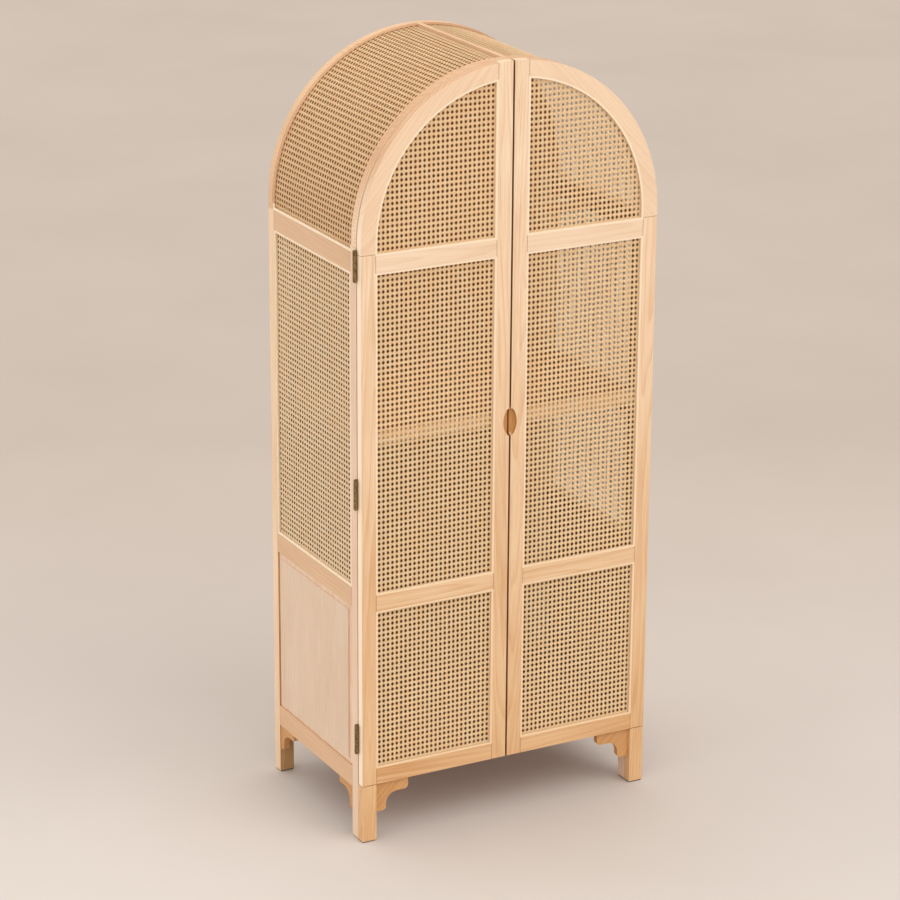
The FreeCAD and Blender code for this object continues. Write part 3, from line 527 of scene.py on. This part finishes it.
def weave(name, box, inside, pitch, slim, bend, material, seed):
    """Build a woven sheet, whose strands rise and dip where they cross each other."""
    draw = random.Random(seed)
    laid = strands(box, inside, pitch, slim)
    longest = max(float(np.hypot(*(points[-1] - points[0]))) for points, *_ in laid)
    vertices, faces, tones, backs, map_u, map_v = [], [], [], [], [], []
    base = 0
    for number, (points, lifts, step, width, thick) in enumerate(laid):
        side = np.array([step[1], -step[0]]) * width / 2
        count = len(points)
        ring = np.zeros((count, 4, 3))
        ring[:, 0, :2] = points - side
        ring[:, 1, :2] = points
        ring[:, 2, :2] = points + side
        ring[:, 3, :2] = points
        ring[:, :, 2] = lifts[:, None] + np.array([0, thick / 2, 0, -thick / 2])
        vertices.append(ring.reshape(-1, 3))
        first = base + 4 * np.arange(count - 1)[:, None]
        corner = np.arange(4)[None, :]
        following = (corner + 1) % 4
        corners = [first + corner, first + following, first + 4 + following, first + 4 + corner]
        faces.append(np.stack(corners, axis=2).reshape(-1, 4))
        faces.append(base + np.array([[0, 3, 2, 1]]))
        faces.append(base + 4 * (count - 1) + np.array([[0, 1, 2, 3]]))
        # Slanting strands lie on top and are lighter; the pairs beneath are painted darker, as shade,
        # and each strand's tone also differs at random
        slanting = abs(step[0] * step[1]) > 0.01
        tone = 0.35 * draw.random() if slanting else 0.5 + 0.5 * draw.random()
        tones.append(np.full(4 * count, tone))
        backs.append(np.tile([0.5, 0.0, 0.5, 1.0], count))
        run = np.hypot(*(points - points[0]).T) / longest
        map_u.append(np.repeat(run, 4))
        map_v.append(np.tile((number + np.array([0.1, 0.5, 0.9, 0.5])) / len(laid), count))
        base += 4 * count
    sheet = np.concatenate(vertices)
    mesh = bpy.data.meshes.new(name)
    quads = np.concatenate(faces)
    mesh.from_pydata(bend(sheet).tolist(), [], quads.tolist())
    mesh.polygons.foreach_set("use_smooth", np.ones(len(quads), bool))
    for key, values in (("tone", tones), ("back", backs)):
        values = np.concatenate(values).astype(np.float32)
        mesh.attributes.new(key, "FLOAT", "POINT").data.foreach_set("value", values)
    flat = np.stack([np.concatenate(map_u), np.concatenate(map_v)], axis=1)[quads.ravel()]
    mesh.uv_layers.new(name="OFBake").data.foreach_set("uv", flat.astype(np.float32).ravel())
    mesh.materials.append(material)
    piece = bpy.data.objects.new(name, mesh)
    bpy.context.scene.collection.objects.link(piece)
    return piece


def flat_bend(across, up, out, level):
    """Place a sheet's (across, up, out) on a plane at a level along its outward way."""
    axes = np.array([across, up, out], float)
    return lambda sheet: (sheet + np.array([0, 0, level])) @ axes


def vault_bend(sign):
    """Wrap a sheet of (depth, length around the arch, out) over one half of the vault."""

    def bend(sheet):
        depth, along, out = sheet.T
        straight = ARCH_MID - SPRING
        angle = np.clip(along - straight, 0, None) / VAULT_RADIUS
        radius = VAULT_RADIUS + out
        across = sign * radius * np.cos(angle)
        height = np.where(along < straight, SPRING + along, ARCH_MID + radius * np.sin(angle))
        return np.stack([across, sign * depth, height], axis=1)

    return bend


def rectangle(low, high):
    """Give a test for being inside a rectangle."""
    return lambda s, t: low[0] <= s <= high[0] and low[1] <= t <= high[1]


def quarter_arch(low, high):
    """Give a test for being inside a door's arched opening."""
    plain = rectangle(low, high)

    def inside(s, t):
        rise = max(t - ARCH_MID, 0.0)
        return plain(s, t) and (rise == 0.0 or math.hypot(s, rise) <= DOOR_ARCH_RADIUS)

    return inside


# Dull pith on the backs of the strands, darkened with painted shade
PITH_AND_SHADE = srgb(156, 104, 50)
# The side cane is paler and the vault cane darker than the door cane: painted light and painted shade
# for how much light falls on each
cane = cane_material("cane", srgb(255, 236, 196), srgb(254, 196, 130), PITH_AND_SHADE)
side_cane = cane_material("side_cane", srgb(255, 240, 208), srgb(255, 204, 144), PITH_AND_SHADE)
vault = cane_material("vault_cane", srgb(255, 230, 186), srgb(244, 188, 128), PITH_AND_SHADE)


def finish_cane(piece, body, node_name):
    """Let a woven sheet stand for its CAD sheet and move with its body."""
    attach(piece, body)
    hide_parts(node_name)


for side in ("left", "right"):
    for level in ("arch", "middle", "bottom"):
        name = f"{side}_{level}_cane"
        low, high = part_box(name)
        sheet_box = ((low.x, low.z), (high.x, high.z))
        test = (quarter_arch if level == "arch" else rectangle)(*sheet_box)
        bend = flat_bend((1, 0, 0), (0, 0, 1), (0, -1, 0), -(low.y + high.y) / 2)
        piece = weave(f"{name}_weave", sheet_box, test, DOOR_PITCH, DOOR_SLIM, bend, cane, name)
        finish_cane(piece, f"{side}_door", name)
    sign = -1 if side == "left" else 1
    name = f"side_cane_{side}"
    low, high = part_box(name)
    depths = sorted((sign * low.y, sign * high.y))
    sheet_box = ((depths[0], low.z), (depths[1], high.z))
    bend = flat_bend((0, sign, 0), (0, 0, 1), (sign, 0, 0), abs(low.x + high.x) / 2)
    test = rectangle(*sheet_box)
    piece = weave(f"{name}_weave", sheet_box, test, SIDE_PITCH, SIDE_SLIM, bend, side_cane, name)
    finish_cane(piece, "carcass", name)
    low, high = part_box("vault_cane")
    depths = sorted((sign * low.y, sign * high.y))
    around = ARCH_MID - SPRING + VAULT_RADIUS * math.acos(RIDGE_HALF / VAULT_RADIUS)
    sheet_box = ((depths[0], 0.0), (depths[1], around))
    test = rectangle(*sheet_box)
    bend = vault_bend(sign)
    name = f"vault_cane_{side}_weave"
    piece = weave(name, sheet_box, test, SIDE_PITCH, VAULT_SLIM, bend, vault, f"vault {side}")
    finish_cane(piece, "carcass", "vault_cane")

# Soft edges on the wood
for name in wooden + BEADS:
    edges = nodes[name].modifiers.new("soft_edges", "BEVEL")
    edges.width = 0.0011
    edges.segments = 2
    edges.limit_method = "ANGLE"
    edges.angle_limit = math.radians(40)

# Studio: pale floor, a little paler towards the front, soft light and the photograph's camera
FLOOR_FORWARD = (-0.474, -0.881, 0.0)
bpy.ops.mesh.primitive_plane_add(size=80, location=(0, 0, 0))
floor = bpy.context.object
floor.name = "floor"
material, tree, shader = new_material("studio_floor")
place = node(tree, "TexCoord").outputs["Object"]
cloud = node(tree, "TexNoise", {"Vector": place, "Scale": 0.8, "Detail": 4, "Roughness": 0.6})
amount = ramp(tree, cloud.outputs["Fac"], ((0.3, 0), (0.7, 1)))
# Painted light: the floor is paler towards the front and darker far away, as light falling off
forward = node(tree, "VectorMath", {0: place, 1: FLOOR_FORWARD}, operation="DOT_PRODUCT")
nearer = spread(tree, forward.outputs["Value"], -2.6, 0.9)
far = mixed(tree, amount, srgb(188, 175, 164), srgb(183, 170, 159))
near = mixed(tree, amount, srgb(211, 202, 196), srgb(206, 197, 190))
tree.links.new(mixed(tree, nearer, far, near), shader.inputs["Base Color"])
shader.inputs["Roughness"].default_value = 0.9
wear(floor, material)

world = bpy.data.worlds.new("studio")
bpy.context.scene.world = world
world.use_nodes = True
tree = world.node_tree
tree.nodes.clear()
paths = node(tree, "LightPath").outputs
seen = figure(tree, "MAXIMUM", paths["Is Camera Ray"], paths["Is Glossy Ray"])
seen = figure(tree, "MAXIMUM", seen, paths["Is Transmission Ray"])
way = node(tree, "SeparateXYZ", {"Vector": node(tree, "TexCoord").outputs["Generated"]}).outputs
rising = spread(tree, way[2], 0.0, 1.0, 0.75, 1.35)
aside = spread(tree, way[0], -1.0, 1.0, 0.32, -0.32)
sky = figure(tree, "ADD", rising, aside)
ambient = node(tree, "Background", {"Color": (1.0, 0.98, 0.95, 1), "Strength": sky})
pale = node(tree, "Background", {"Color": srgb(212, 197, 183), "Strength": 1.0})
shown = node(tree, "MixShader", {0: seen, 1: ambient.outputs[0], 2: pale.outputs[0]})
node(tree, "OutputWorld", {"Surface": shown.outputs[0]})

sun = bpy.data.lights.new("sun", "SUN")
sun.energy = 0.8
sun.angle = math.radians(45)
sun.color = (1.0, 0.98, 0.95)
lamp = bpy.data.objects.new("sun", sun)
lamp.rotation_mode = "QUATERNION"
lamp.rotation_quaternion = Vector((2.0, -4.4, 4.6)).to_track_quat("Z", "Y")
bpy.context.scene.collection.objects.link(lamp)

FOCAL_PIXELS = 3249.07
FRAME_PIXELS = 900
AZIMUTH, ELEVATION, ROLL = math.radians(-28.28), math.radians(19.21), math.radians(0.35)
lens = bpy.data.cameras.new("camera")
lens.sensor_width = 36.0
lens.lens = 36.0 * FOCAL_PIXELS / FRAME_PIXELS
lens.clip_end = 200.0
camera = bpy.data.objects.new("camera", lens)
bpy.context.scene.collection.objects.link(camera)
back = Vector((
    math.sin(AZIMUTH) * math.cos(ELEVATION),
    -math.cos(AZIMUTH) * math.cos(ELEVATION),
    math.sin(ELEVATION),
))
right = Vector((math.cos(AZIMUTH), math.sin(AZIMUTH), 0))
up = back.cross(right)
level_right = right * math.cos(ROLL) + up * math.sin(ROLL)
level_up = up * math.cos(ROLL) - right * math.sin(ROLL)
turn = Matrix((level_right, level_up, back)).transposed().to_4x4()
camera.matrix_world = Matrix.Translation((-3.6348, -6.7024, 3.5384)) @ turn
bpy.context.scene.camera = camera
bpy.context.scene.view_settings.view_transform = "Standard"
